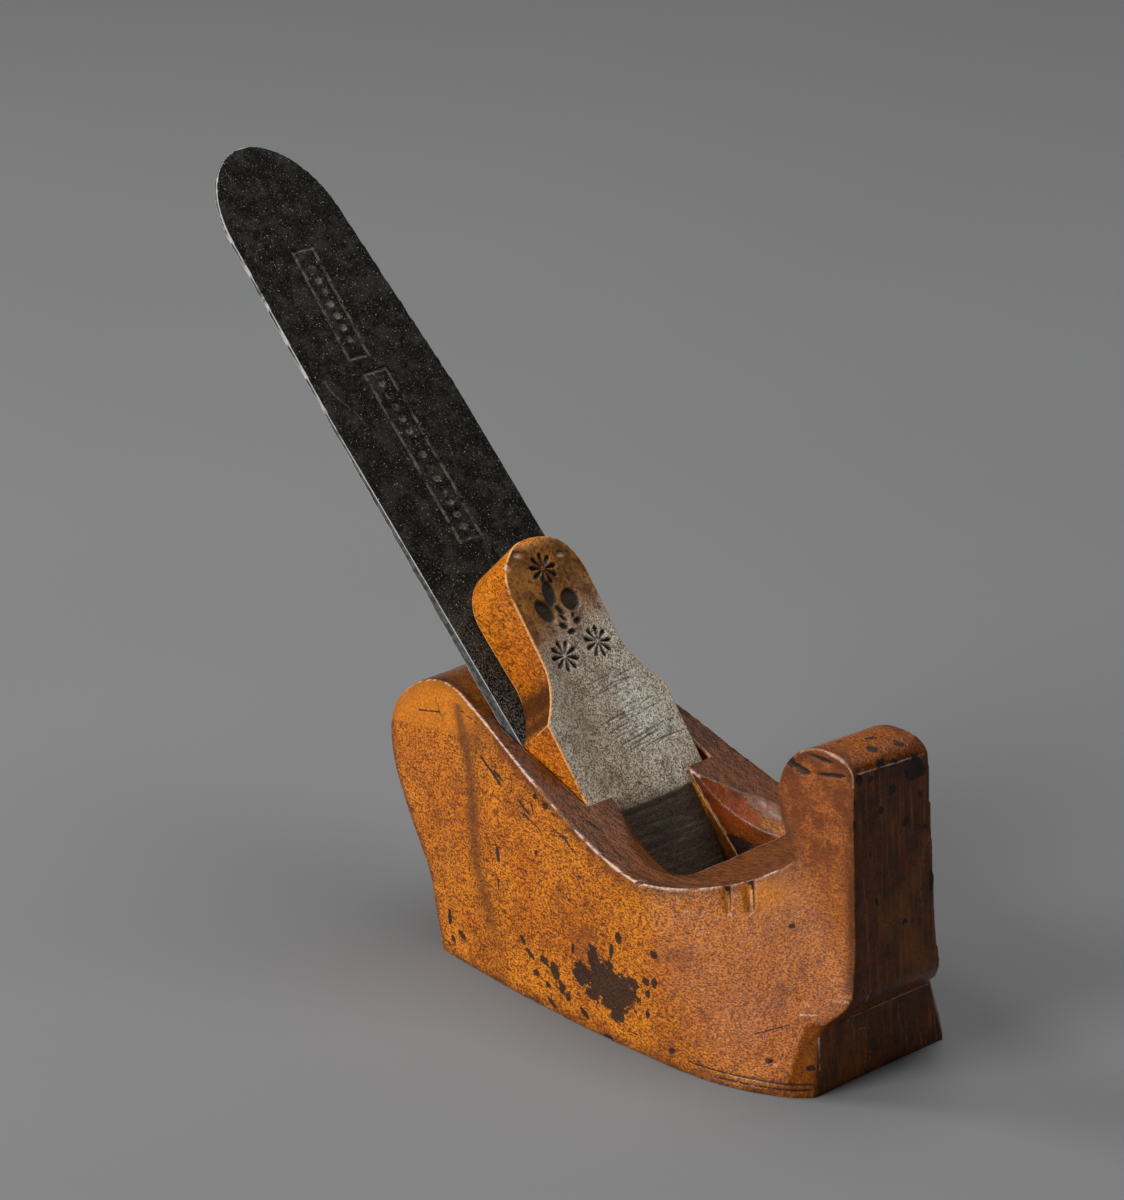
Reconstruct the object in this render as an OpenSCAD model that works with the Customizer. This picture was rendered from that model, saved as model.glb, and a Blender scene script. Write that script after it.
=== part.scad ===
// Small horned hand plane: a carved wooden stock, a tapered iron with a steel bit, and a forked wedge.
// Millimetres. X runs forward to the horn, Y across, Z up. The sole lies on z = 0, and the
// cutting edge rests at the origin.

/* [Stock sole] */
// cutting edge back to the heel
sole_back = 64; // [50:0.5:90]
// cutting edge forward to the toe
sole_front = 31.5; // [26:0.5:45]
// widest half-width of the sole
wide_half = 26.7; // [22:0.1:34]
// how far ahead of the cutting edge the sole is widest
wide_x = -0.3; // [-8:0.1:6]
// how much the heel half-width has drawn in at the heel
heel_draw = 5.5; // [2:0.1:9]
// how much the toe half-width has drawn in at the toe
toe_draw = 8.6; // [4:0.1:11]
// inward lean of both sides
side_lean = 4.1; // [0:0.1:8]

/* [Stock outline] */
// overhang of the tail behind the heel
tail_reach = 21.3; // [10:0.1:28]
// height of the rearmost point of the tail
tail_h = 38; // [32:0.5:42]
// height at which the bevel round the hump begins, at the tail
hump_bevel_h = 39.5; // [34:0.5:46]
// inward slope of that bevel
hump_bevel = 19; // [12:0.5:26]
// how steeply the edge of that bevel climbs toward the front
bevel_climb = 12; // [7:0.5:18]
// inward slope of the shallower paring below it
hump_paring = 10; // [6:0.5:11]
// how steeply the edge of that paring climbs toward the front
paring_climb = 3; // [0:0.5:6]
// height of the hump
hump_h = 52.3; // [48:0.1:60]
// hump top behind the cutting edge
hump_back = 66; // [60:0.5:72]
// lowest point of the top, just ahead of the throat
saddle_h = 33; // [30:0.1:36]
// height of the neck behind the horn
neck_h = 42.1; // [38:0.1:46]
// neck ahead of the cutting edge
neck_x = 20.1; // [17:0.1:22]
// how far the horn hooks back over the neck
hook_reach = 5.3; // [1:0.1:8]
// height of the horn
horn_h = 65.1; // [60:0.1:80]
// how far the horn leans ahead of the toe at its foot
horn_lead = 4; // [1:0.1:7]
// how far the front of the horn falls back from its foot to its top
horn_rake = 2; // [0:0.1:5]
// fall of the horn's top toward its far side
horn_tilt = 3.4; // [1:0.1:6]
// half-width of the horn at its foot
horn_half = 11; // [9:0.1:14]
// inward lean of the horn's sides
horn_lean = 2; // [0:0.1:4]
// height of the toe block below the cove
toe_h = 12.1; // [8:0.1:16]
// height of the cove above the toe block
cove_h = 7.4; // [4:0.1:9]
// width of the corner facets on the toe block
toe_facet = 1.1; // [0.8:0.1:5]
// size of the rounding on the heel corners
heel_round = 0.7; // [0.3:0.1:2]

/* [Throat] */
// angle of the iron's face to the sole
pitch = 45; // [40:0.5:55]
// gap between the cutting edge and the front of the mouth
mouth_gap = 1.8; // [1.2:0.1:3]
// backward lean of the throat's front wall
wall_lean = 13.5; // [0:0.5:18]
// half-gap between the two abutments at their top
cheek_half = 9.7; // [8:0.1:11]
// spread of each cheek toward the front
cheek_flare = 10; // [4:0.5:14]
// depth of the lens chamfers on the throat edges
lens_depth = 1.9; // [0.8:0.1:2.4]
// radius of the dished top round the throat
scoop_r = 20; // [16:0.5:24]
// depth of that dish below the saddle
scoop_depth = 2; // [1:0.1:2.4]

/* [Iron] */
// width of the iron
iron_w = 32; // [28:0.5:34]
// length of the iron
iron_len = 197; // [160:1:220]
// thickness at the cutting edge
iron_t = 4.3; // [3.4:0.1:5]
// thickness of the thin upper end
iron_top_t = 1; // [0.8:0.1:1.6]
// loss of thickness for each millimetre up the iron
iron_taper = 0.0245; // [0.015:0.0005:0.028]
// narrowing of each side toward the round top
iron_draw = 1.9; // [0:0.1:3]
// how far that round top was forged toward the near edge
iron_skew = 0.5; // [0:0.1:1]
// length of the round top
iron_round = 19; // [12:0.5:26]
// grinding angle of the bevel
bevel = 27; // [22:0.5:35]
// length of the welded steel bit
bit_len = 58; // [40:1:62]
// thickness of the steel bit
bit_t = 1.2; // [0.8:0.1:1.8]

/* [Wedge] */
// taper angle of the wedge
wedge_taper = 7.4; // [6:0.1:9]
// wedge thickness extrapolated to the cutting edge
wedge_t = 1.12; // [0.9:0.02:1.4]
// top of the wedge, measured up the iron
wedge_top = 99.2; // [92:0.2:112]
// half-width of the rounded head
head_half = 10; // [8.5:0.1:12]
// half-width below the shoulders
wedge_half = 15.4; // [14.6:0.1:15.6]
// how far the wedge sits toward the near cheek
wedge_off = 0.5; // [0:0.1:0.6]
// foot of the shoulders, measured up the iron
shoulder_s = 64.6; // [62:0.1:70]
// length of the shoulder curve
shoulder_len = 11.5; // [8:0.5:16]
// crotch between the legs on the wedge's face, measured up the iron
crotch_s = 46.4; // [40:0.1:50]
// lower end of the sloping tongue between the legs, measured up the iron
tongue_s = 24; // [18:0.5:34]
// lower end of the legs, measured up the iron
leg_end = 14; // [10:0.5:24]
// rounding of the front of the head
head_round = 1.6; // [0.6:0.1:3]

/* [Fits] */
// side clearance of the iron and wedge in the slot
slot_clear = 0.35; // [0.3:0.05:0.6]
// clearance of the seated faces
seat = 0.05; // [0.02:0.01:0.1]
// clearance of the wedge under the abutments
wedge_clear = 0.3; // [0.25:0.05:0.5]

/* [Hidden] */
face_angle = pitch + wedge_taper;
bed_angle = pitch + atan(iron_taper);
slot_half = iron_w / 2 + slot_clear;
heel_x = -sole_back;
tail_x = heel_x - tail_reach;
hump_x = -hump_back;
horn_x = sole_front + horn_lead;
horn_foot = toe_h + cove_h;
horn_top_x = horn_x - horn_rake;
hook_x = neck_x - hook_reach;
hook_h = neck_h + 0.557 * (horn_h - neck_h);
rear_k = heel_draw / pow(sole_back + wide_x, 2);
fore_k = toe_draw / pow(sole_front - wide_x, 2.8);
thin_s = (iron_t - iron_top_t) / iron_taper;
abut_x0 = wedge_t / sin(pitch) - wedge_t * 0.12 + wedge_clear / sin(face_angle);
big = 160;

// half-width of the sole's outline at x
function half_w(x) =
  x < wide_x ? wide_half - rear_k * pow(wide_x - x, 2) : wide_half - fore_k * pow(x - wide_x, 2.8);
// a cubic curve through four control points, without its last point
function curve(a, b, c, d, n) =
  [for (i = [0:n - 1]) let(t = i / n, u = 1 - t)
    u * u * u * a + 3 * u * u * t * b + 3 * u * t * t * c + t * t * t * d];
// half-gap of the throat at x, on the cheeks' inner faces
function gap_half(x) = cheek_half + (x + 28.7) * tan(cheek_flare);
// depth of the bed behind the iron's face plane, s up the iron
function iron_back(s) = max(iron_top_t, iron_t - iron_taper * s);
// thickness of the wedge, s up the iron
function wedge_front(s) = wedge_t + s * tan(wedge_taper);
// half-width of the wedge below its head
function wedge_side(s) =
  let(t = min(1, max(0, (shoulder_s + shoulder_len - s) / shoulder_len)))
  head_half + (wedge_half - head_half) * t * t;
// point on the back of the wedge face where the abutment line stands at height z
function abut_x(z) = abut_x0 - z / tan(face_angle);

// lays a drawing whose x runs up the iron and whose z goes back into the bed
module on_face() {
  rotate([0, pitch - 180, 0]) children();
}

// extrudes a side view drawn in X and Z across the part
module across(half) {
  rotate([90, 0, 0]) linear_extrude(height = 2 * half, center = true) children();
}

// the side view of the stock
module side_view() {
  hump = [hump_x, hump_h];
  fall = [hump_x + 24.3, hump_h - 7.4];
  low = [-6, saddle_h];
  neck = [neck_x, neck_h];
  hook = [hook_x, hook_h];
  chin = [horn_x, horn_foot];
  toe = [sole_front - 1.1, toe_h];
  polygon(concat(
    tail_line(),
    curve(hump, hump + [7, 0], fall + [-8.3, 3.1], fall, 10),
    curve(fall, fall + [8.7, -3.3], low - [10, 0], low, 12),
    curve(low, low + [10, 0], neck - [6.1, 6.1], neck, 12),
    curve(neck, neck + [-2.9, 3.9], hook - [0, 4.4], hook, 10),
    crown_line(),
    curve(chin, chin - [0.3, 3.3], toe + [1.1, 2.4], toe, 6),
    [toe, [sole_front, 0]]
  ));
}

// the line over the top of the horn, as points in X and Z
function crown_line() =
  let(
    hook = [hook_x, hook_h],
    crown = [horn_top_x - 8, horn_h],
    brow = [horn_top_x, horn_h - 3.2]
  )
  concat(
    curve(hook, hook + [0, 4.4], crown - [6.2, 0.5], crown, 10),
    curve(crown, crown + [4.5, 0.2], brow + [-0.3, 2.3], brow, 8),
    [brow]
  );

// all that stands above the horn's crown, which falls toward the far side
module above_crown() {
  line = crown_line();
  pivot = [0, -horn_half - 1, horn_h];
  translate(pivot)
    rotate([-horn_tilt, 0, 0])
      translate(-pivot)
        across(wide_half)
          polygon(concat(
            line,
            [[horn_x + 6, horn_h - 3.2], [horn_x + 6, horn_h + 20]],
            [[hook_x - 4, horn_h + 20], [hook_x - 4, hook_h]]
          ));
}

// a bevel on one side of the hump, its edge climbing toward the front
module hump_side(lean, climb) {
  translate([tail_x, 0, hump_bevel_h])
    rotate([0, -climb, 0])
      translate([-tail_x, 0, -hump_bevel_h])
        leaned_side(lean, hump_bevel_h, -12);
}

// one side of the plan, standing with a lean about the height z0, out to x_end
module leaned_side(lean, z0, x_end) {
  steps = 34;
  x0 = tail_x - 4;
  inset = z0 * tan(side_lean);
  translate([0, 0, z0])
    rotate([-lean, 0, 0])
      translate([0, 0, -z0 - big])
        linear_extrude(height = 2 * big)
          polygon(concat(
            [for (i = [0:steps]) let(x = x0 + i * (x_end - x0) / steps)
              [x, (inset - half_w(x)) * cos(lean)]],
            [[x_end, -wide_half - 30], [horn_x + 30, -wide_half - 30]],
            [[horn_x + 30, wide_half + 70], [x0, wide_half + 70]]
          ));
}

// everything outside a tilted plane through point p
module beyond(p, tilt, turn) {
  translate(p) rotate([tilt, 0, turn]) translate([-big / 2, -big, -big / 2]) cube(big);
}

// the line of the heel and tail, as points in X and Z
function tail_line() =
  let(
    ankle = [heel_x - 5, 12.5],
    tail = [tail_x, tail_h],
    hump = [hump_x, hump_h]
  )
  concat(
    curve([heel_x, 0], [heel_x - 1.6, 4], [heel_x - 3.6, 8], ankle, 4),
    curve(ankle, ankle + [-2.5, 6], tail - [0, 10], tail, 14),
    curve(tail, tail + [0, 7.5], hump - [9, 0], hump, 14)
  );

// the rounded heel corner, cut along the tail line by a side view turned to the corner
module heel_corner() {
  corner = [for (p = tail_line()) [
      (-p[0] + half_w(p[0]) - p[1] * tan(side_lean)) / sqrt(2) - heel_round,
      p[1]
    ]];
  top = corner[len(corner) - 1];
  rotate([0, 0, 45])
    rotate([90, 0, 180])
      linear_extrude(height = big, center = true)
        polygon(concat(
          [[corner[0][0] - 1, -1]],
          corner,
          [top + [0, 3], [big, top[1] + 3], [big, -1]]
        ));
}

// the pared side of the horn: its flat side sweeping out in an ogee to the side of the stock
module horn_paring() {
  r_in = 18;
  r_out = 40;
  turn = 30;
  last = 6;
  start = 5;
  flat = 14;
  reach = 110;
  a = [for (i = [0:6]) let(t = turn * i / 6) [start - r_in * sin(t), -r_in * (1 - cos(t))]];
  b = a[6] - [flat, flat * tan(turn)];
  c = [for (i = [0:7]) let(t = turn - (turn - last) * i / 7)
    b - r_out * [sin(turn) - sin(t), cos(t) - cos(turn)]];
  d = c[7] - reach * [cos(last), sin(last)];
  translate([horn_x, -horn_half, horn_foot - 0.5])
    rotate([0, -34.6, 0])
      rotate([-horn_lean * 0.83, 0, 0])
        translate([0, 0, -70])
          linear_extrude(height = 170)
            polygon(concat([[60, 0]], a, c, [d, d - [0, 60], [60, -80]]));
}

// the facet on the corner of the toe block, ending under the cove
module toe_corner() {
  intersection() {
    beyond([sole_front, -half_w(sole_front) + toe_facet * 0.62, 0], -12.5, 45);
    translate([sole_front - 20, -wide_half, -1]) cube([40, wide_half, toe_h + 2.4]);
  }
}

// a small V cut across the surface at p, leaning along the stock and turned about the upright
module v_cut(p, w, tall, lean, turn) {
  translate(p) rotate([-12, lean, turn]) rotate([0, 0, 70]) cube([w, w, tall], center = true);
}

// the two V cuts below the near rim beside the horn, and the nick behind them
module rim_cuts() {
  v_cut([9.9, -18.15, 32.7], 1.1, 4.6, -16, 0);
  v_cut([13.4, -16.15, 33.6], 1.3, 4.8, -16, 0);
  v_cut([-6.9, -24, 32.9], 0.9, 3.6, 68, 40);
}

// the slot for the iron and wedge, from the sole up through the top
module slot_cut() {
  lo = -8;
  hi = 118;
  on_face()
    across(slot_half)
      polygon([
        [lo, iron_t - iron_taper * lo + seat],
        [hi, iron_t - iron_taper * hi + seat],
        [hi, -wedge_front(hi) - wedge_clear],
        [lo, -wedge_front(lo) - wedge_clear]
      ]);
}

// the open throat between the cheeks
module throat_cut() {
  top = 74;
  rise = tan(wall_lean);
  intersection() {
    across(slot_half)
      polygon([
        [mouth_gap + rise, -1],
        [mouth_gap - rise * top, top],
        [abut_x(top) - 1.5, top],
        [abut_x(-1) - 1.5, -1]
      ]);
    translate([0, 0, -2])
      linear_extrude(height = top + 4)
        polygon([
          [-62, -gap_half(-62)],
          [4, -gap_half(4)],
          [4, gap_half(4)],
          [-62, gap_half(-62)]
        ]);
  }
}

// the lens chamfer on the near throat edge, wide in its middle and running out at both ends
module lens_cut() {
  r = 36;
  mid = [-15, -gap_half(-15), saddle_h + 1.2];
  lift = (r - lens_depth) / sqrt(2);
  intersection() {
    translate(mid)
      rotate([0, 20, -cheek_flare])
        translate([0, lift, lift])
          rotate([45, 0, 0]) cylinder(r = r, h = 12, center = true, $fn = 144);
    translate([-32, mid[1] - 8, mid[2] - 11]) cube([25.6, 16, 22]);
  }
}

// the dished top round the front of the throat
module scoop() {
  centre_z = saddle_h - scoop_depth + scoop_r;
  spread = 9;
  translate([-7, 0, centre_z])
    rotate([90, 0, 0]) cylinder(r = scoop_r, h = 2 * spread, center = true, $fn = 120);
  for (y = [-spread, spread])
    translate([-7, y, centre_z]) sphere(r = scoop_r, $fn = 120);
}

module stock() {
  color("peru")
    difference() {
      intersection() {
        across(wide_half + 4) side_view();
        leaned_side(side_lean, 0, horn_x + 6);
        mirror([0, 1, 0]) leaned_side(side_lean, 0, horn_x + 6);
        hump_side(hump_paring, paring_climb);
        mirror([0, 1, 0]) hump_side(hump_paring, paring_climb);
        hump_side(hump_bevel, bevel_climb);
        mirror([0, 1, 0]) hump_side(hump_bevel, bevel_climb);
      }
      for (side = [0, 1])
        mirror([0, side, 0]) {
          heel_corner();
          horn_paring();
          toe_corner();
          lens_cut();
        }
      above_crown();
      scoop();
      slot_cut();
      throat_cut();
      rim_cuts();
    }
}

// the whole iron as forged, with its bevel ground
module iron_blank() {
  r = iron_w / 2 - iron_draw;
  bevel_s = iron_t / (tan(bevel) + iron_taper);
  on_face()
    intersection() {
      translate([0, 0, -1])
        linear_extrude(height = iron_t + 2)
          union() {
            polygon([
              [0, -iron_w / 2],
              [0.7 * iron_len, -iron_w / 2],
              [iron_len - iron_round, -r - iron_skew],
              [iron_len - iron_round, r - iron_skew],
              [0.7 * iron_len, iron_w / 2],
              [0, iron_w / 2]
            ]);
            translate([iron_len - iron_round, -iron_skew])
              scale([iron_round / r, 1]) circle(r = r, $fn = 96);
          }
      across(iron_w)
        polygon([
          [0, 0],
          [iron_len + 1, 0],
          [iron_len + 1, iron_top_t],
          [thin_s, iron_top_t],
          [bevel_s, iron_back(bevel_s)]
        ]);
    }
}

// the room the welded bit takes on the face of the iron
module bit_room() {
  on_face() translate([-1, -iron_w, -1]) cube([bit_len + 1, 2 * iron_w, bit_t + 1]);
}

module iron() {
  color("dimgray")
    difference() {
      iron_blank();
      bit_room();
    }
}

module iron_bit() {
  color("lightslategray")
    intersection() {
      iron_blank();
      bit_room();
    }
}

// the outline of the wedge, drawn up the iron
module wedge_outline() {
  n = 14;
  lo = shoulder_s;
  foot = leg_end;
  centre = wedge_top - head_half;
  side = concat(
    [[foot, wedge_half - 0.4]],
    [for (i = [0:n]) let(s = lo + shoulder_len * i / n) [s, wedge_side(s)]]
  );
  polygon(concat(
    side,
    [for (i = [0:24]) let(a = 90 - 180 * i / 24) [centre + head_half * cos(a), head_half * sin(a)]],
    [for (i = [len(side) - 1:-1:0]) [side[i][0], -side[i][1]]]
  ));
}

// the open fork between the legs, with the sloping tongue left standing behind it
module fork_cut() {
  hide = 0.4;
  y_at = function(s) gap_half(-0.7 * s + 3.8) + hide;
  tip = 0.5;
  intersection() {
    translate([0, 0, -big / 2])
      linear_extrude(height = big)
        polygon([
          [leg_end - 2, -y_at(leg_end - 2)],
          [crotch_s + 1, -y_at(crotch_s + 1)],
          [crotch_s + 1, y_at(crotch_s + 1)],
          [leg_end - 2, y_at(leg_end - 2)]
        ]);
    across(iron_w)
      polygon([
        [leg_end - 3, 2],
        [tongue_s, 2],
        [tongue_s, -tip],
        [crotch_s, -wedge_front(crotch_s)],
        [crotch_s, -3 * wedge_front(crotch_s)],
        [leg_end - 3, -3 * wedge_front(crotch_s)]
      ]);
  }
}

module wedge() {
  front_top = wedge_front(wedge_top);
  color("burlywood")
    on_face()
      difference() {
        intersection() {
          translate([0, -wedge_off, -big / 2]) linear_extrude(height = big) wedge_outline();
          across(iron_w)
            polygon(concat(
              [
                [leg_end, -seat],
                [wedge_top + 1, -seat],
                [wedge_top + 1, head_round - front_top]
              ],
              [for (i = [1:8]) let(a = 90 * i / 8)
                [wedge_top - head_round * (1 - cos(a)) * 1.6, head_round * (1 - sin(a)) - front_top + 0.1]],
              [
                [wedge_top - head_round * 1.6 - 4, -wedge_front(wedge_top - head_round * 1.6 - 4)],
                [leg_end, -wedge_front(leg_end)]
              ]
            ));
        }
        fork_cut();
      }
}

stock();
iron();
iron_bit();
wedge();
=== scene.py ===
import math
import random

import bpy
import numpy as np
from mathutils import Matrix, Vector


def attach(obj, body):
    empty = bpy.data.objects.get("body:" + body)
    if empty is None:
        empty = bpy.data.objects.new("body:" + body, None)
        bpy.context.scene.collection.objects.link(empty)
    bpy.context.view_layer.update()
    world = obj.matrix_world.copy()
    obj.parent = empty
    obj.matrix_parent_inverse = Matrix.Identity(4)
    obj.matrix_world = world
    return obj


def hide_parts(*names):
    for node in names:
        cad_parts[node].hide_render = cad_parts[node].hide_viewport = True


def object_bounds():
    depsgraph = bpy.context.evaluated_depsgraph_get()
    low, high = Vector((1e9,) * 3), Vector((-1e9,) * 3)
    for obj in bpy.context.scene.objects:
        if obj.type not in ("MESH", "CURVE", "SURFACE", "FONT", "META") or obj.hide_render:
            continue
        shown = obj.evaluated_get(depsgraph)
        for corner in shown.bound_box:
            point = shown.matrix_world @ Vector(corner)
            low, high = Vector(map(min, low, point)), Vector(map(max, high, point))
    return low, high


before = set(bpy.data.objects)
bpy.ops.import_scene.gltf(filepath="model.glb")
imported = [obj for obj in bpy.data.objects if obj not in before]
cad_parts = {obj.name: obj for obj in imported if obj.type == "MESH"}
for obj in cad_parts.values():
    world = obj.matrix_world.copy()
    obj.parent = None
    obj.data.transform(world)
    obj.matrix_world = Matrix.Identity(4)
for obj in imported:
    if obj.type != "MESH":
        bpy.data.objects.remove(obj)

MM = 0.001
cad_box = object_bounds()

# The stock: one block of dense, fine-pored fruitwood, sawn out and then shaped with chisel and file.
# The hump, the saddle and the hooked horn are carved from the same piece, and the throat is chopped
# through it. Long use has rounded every edge, and old varnish lies over ink and soot stains.


def fine_copy(name, node, cell, rounds):
    """A dense copy of a solid, in cells of so many mm, whose sharp edges have been eased by use."""
    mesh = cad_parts[node].data.copy()
    piece = bpy.data.objects.new(name, mesh)
    bpy.context.scene.collection.objects.link(piece)
    mesh.materials.clear()
    cells = piece.modifiers.new("cells", "REMESH")
    cells.mode = "VOXEL"
    cells.voxel_size = cell * MM
    cells.use_smooth_shade = True
    ease = piece.modifiers.new("ease", "SMOOTH")
    ease.factor = 0.5
    ease.iterations = rounds
    worked = bpy.data.meshes.new_from_object(piece.evaluated_get(bpy.context.evaluated_depsgraph_get()))
    piece.modifiers.clear()
    piece.data = worked
    worked.name = name
    return piece


def read_points(piece):
    """Positions in mm and normals of a piece's points."""
    mesh = piece.data
    places, normals = np.empty((2, len(mesh.vertices) * 3))
    mesh.vertices.foreach_get("co", places)
    mesh.vertex_normals.foreach_get("vector", normals)
    return places.reshape(-1, 3) / MM, normals.reshape(-1, 3)


def write_points(piece, places):
    """Moves a piece's points to places in mm."""
    piece.data.vertices.foreach_set("co", (places * MM).ravel())
    piece.data.update()


def edge_wear(piece, places, normals, rounds):
    """How far each point stands proud of the surface smoothed in so many rounds: below 0 in corners."""
    pull = 0.6  # how far each round draws a point to the middle of its neighbours
    n = len(places)
    ends = np.empty(len(piece.data.edges) * 2, dtype=np.int64)
    piece.data.edges.foreach_get("vertices", ends)
    a, b = ends[::2], ends[1::2]
    neighbours = np.bincount(a, minlength=n) + np.bincount(b, minlength=n)
    soft = places.copy()
    for _ in range(rounds):
        total = np.zeros_like(soft)
        for k in range(3):
            total[:, k] = np.bincount(a, soft[b, k], n) + np.bincount(b, soft[a, k], n)
        soft = (1 - pull) * soft + pull * total / neighbours[:, None]
    return ((places - soft) * normals).sum(1)


def unevenness(places, size, seed):
    """Smooth random rise and fall from -1 to 1, in lumps of the given size in mm."""
    grid = places / size + seed * 17.31
    cell = np.floor(grid).astype(np.int64)
    inside = grid - cell
    inside = inside * inside * (3 - 2 * inside)
    total = np.zeros(len(places))
    for corner in np.ndindex(2, 2, 2):
        # Large primes give each corner of a cell its own random height.
        i, j, k = (cell + corner).T
        height = (i * 73856093) ^ (j * 19349663) ^ (k * 83492791) ^ (seed * 2654435)
        height = (height ^ (height >> 13)) * 1274126177 & 0xFFFFFF
        share = np.abs(1 - np.array(corner) - inside).prod(1)
        total += share * (height / 0x7FFFFF - 1)
    return total


def ramp(v, start, end):
    """0 up to the start, 1 from the end on, and straight between them."""
    return np.clip((v - start) / (end - start), 0, 1)


def fade(v, middle, reach):
    """1 in the middle, fading smoothly to nothing beyond the reach on both sides."""
    return np.exp(-((v - middle) / reach) ** 2)


NOWHERE = -9.0  # the value of a field of marks far from every mark


def spots(u, v, places):
    """Field of spots, above 0 inside: each place is u, v, half-length, half-height and turn in degrees."""
    field = np.full(len(u), NOWHERE)
    for u0, v0, length, height, turn in places:
        c, s = math.cos(math.radians(turn)), math.sin(math.radians(turn))
        a = ((u - u0) * c + (v - v0) * s) / length
        b = (-(u - u0) * s + (v - v0) * c) / height
        field = np.maximum(field, 1 - np.sqrt(a * a + b * b))
    return field


def strokes(u, v, lines):
    """Field of thin lines, above 0 inside: each line is two end points and a half-width."""
    field = np.full(len(u), NOWHERE)
    for u0, v0, u1, v1, half in lines:
        du, dv = u1 - u0, v1 - v0
        t = np.clip(((u - u0) * du + (v - v0) * dv) / (du * du + dv * dv), 0, 1)
        field = np.maximum(field, 1 - np.hypot(u - u0 - t * du, v - v0 - t * dv) / half)
    return field


def only(where, field):
    """Keeps a field of marks to one part of the surface."""
    return np.where(where, field, NOWHERE)


def mark(piece, **layers):
    """Keeps named values for each point of a piece, for its finish to read."""
    for name, values in layers.items():
        layer = piece.data.attributes.new(name, "FLOAT", "POINT")
        layer.data.foreach_set("value", np.ascontiguousarray(values, dtype=np.float32))


# The surface is split by where a point lies and which way it looks. +x is towards the horn, -y is the
# near side, z is up, and all sizes are in mm.
stock = fine_copy("carved_stock", "stock", 0.34, 3)
points, normals = read_points(stock)
x, y, z = points.T
facing_x, facing_y, facing_z = normals.T
flank, toe_top, rim_top, horn_back, horn_face = 8, 20, 38, 17, 24
throat_half, throat_back, throat_front, throat_top = 16.6, -36, 4, 45
near_side = (facing_y < -0.5) & (y < -flank)
far_side = (facing_y > 0.5) & (y > flank)
front = ramp(facing_x, 0.5, 0.75) * (x > horn_face)
above_toe = z > toe_top
upward = ramp(facing_z, 0.5, 0.9)
in_throat = (np.abs(y) < throat_half) & (x > throat_back) & (x < throat_front) & (z < throat_top)
in_throat &= upward < 0.5
rim = edge_wear(stock, points, normals, 3)
proud = edge_wear(stock, points, normals, 10)
near_edge = edge_wear(stock, points, normals, 200)

gouges = (
    (-48.1, 40.8, 2.4, 0.4, -20), (-33.4, 39.6, 1.1, 0.6, 20), (-40.5, 36.6, 4.4, 0.3, -24),
    (-38, 35.3, 3.2, 0.25, -18), (-27.1, 34.9, 1.8, 0.4, -35), (-47.2, 25.6, 0.7, 2.4, 22),
    (-28.8, 38.3, 1, 0.4, 0), (20, 59.7, 3.6, 0.6, -6), (27.6, 60.6, 5, 0.35, 12),
    (25.4, 63.1, 3.6, 0.4, 2),
)
dents = (
    (-51.5, 10.2, 0.9, 0.8, 0), (-35.6, 30.2, 0.8, 0.7, 0), (-31.6, 26.4, 0.7, 0.7, 0),
    (24.6, 6, 0.9, 0.7, 0), (3.2, 30.2, 0.7, 0.6, 0), (6, 30.5, 0.6, 0.6, 0), (27, 17.4, 1.5, 0.7, -20),
    (-72, 20, 0.8, 0.9, 0),
)
pin_pits = tuple((-80 + 2.3 * k, 39.4 + 0.5 * k + 0.5 * math.sin(k * 2.3), 0.5, 0.45, 0) for k in range(8))
scribed_lines = ((6, 2.4, 31, 2.6, 0.3), (12, 1.3, 31, 1.5, 0.3))
gouge_depth, dent_depth, pit_depth, line_depth, notch_depth = 0.4, 0.25, 0.3, 0.12, 0.9


def notch(x, z, top, foot, wide):
    """A knife-cut notch, wide at the rim and pointed at its foot: its depth, and how far off its middle."""
    dx, dz = foot[0] - top[0], foot[1] - top[1]
    long = math.hypot(dx, dz)
    t = ((x - top[0]) * dx + (z - top[1]) * dz) / long
    off = ((x - top[0]) * dz - (z - top[1]) * dx) / long
    half = wide * np.clip(1 - t / long, 0, 1)
    return np.clip((half - np.abs(off)) / wide, 0, 1) * (t > -0.6), off


cut_a, off_a = notch(x, z, (8.4, 36.5), (11.2, 29.8), 1.3)
cut_b, off_b = notch(x, z, (12, 37.4), (15.4, 30.6), 1.7)
below_rim = (y < -flank) & (z < rim_top) & (x > throat_front) & (x < horn_back + 1) & (facing_z < 0.55)
notches = np.where(below_rim, np.maximum(cut_a, cut_b), 0)
shaded = np.where(cut_a > cut_b, off_a, off_b) < 0.15

sunk = gouge_depth * np.clip(only(near_side, spots(x, z, gouges)) + 0.2, 0, 1)
sunk += dent_depth * np.clip(only(near_side | far_side, spots(x, z, dents)), 0, 1)
sunk += pit_depth * np.clip(only(near_side, spots(x, z, pin_pits)), 0, 1)
sunk += line_depth * np.clip(only(near_side & (x > throat_front), strokes(x, z, scribed_lines)), 0, 1)
sunk += notch_depth * notches
hand_cut = 0.10 * unevenness(points, 9, 1) + 0.05 * unevenness(points, 4, 2)
chatter = 0.02 * unevenness(points * (1, 1, 0.3), 1.4, 3)
tool_lines = 0.05 * unevenness(points * (1, 1, 0.05), 0.9, 4) * front * above_toe
carved = points + normals * (hand_cut + chatter + tool_lines - sunk)[:, None]
lowest, highest = np.array(cad_box[0]) / MM, np.array(cad_box[1]) / MM
write_points(stock, np.clip(carved, lowest, highest))

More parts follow.
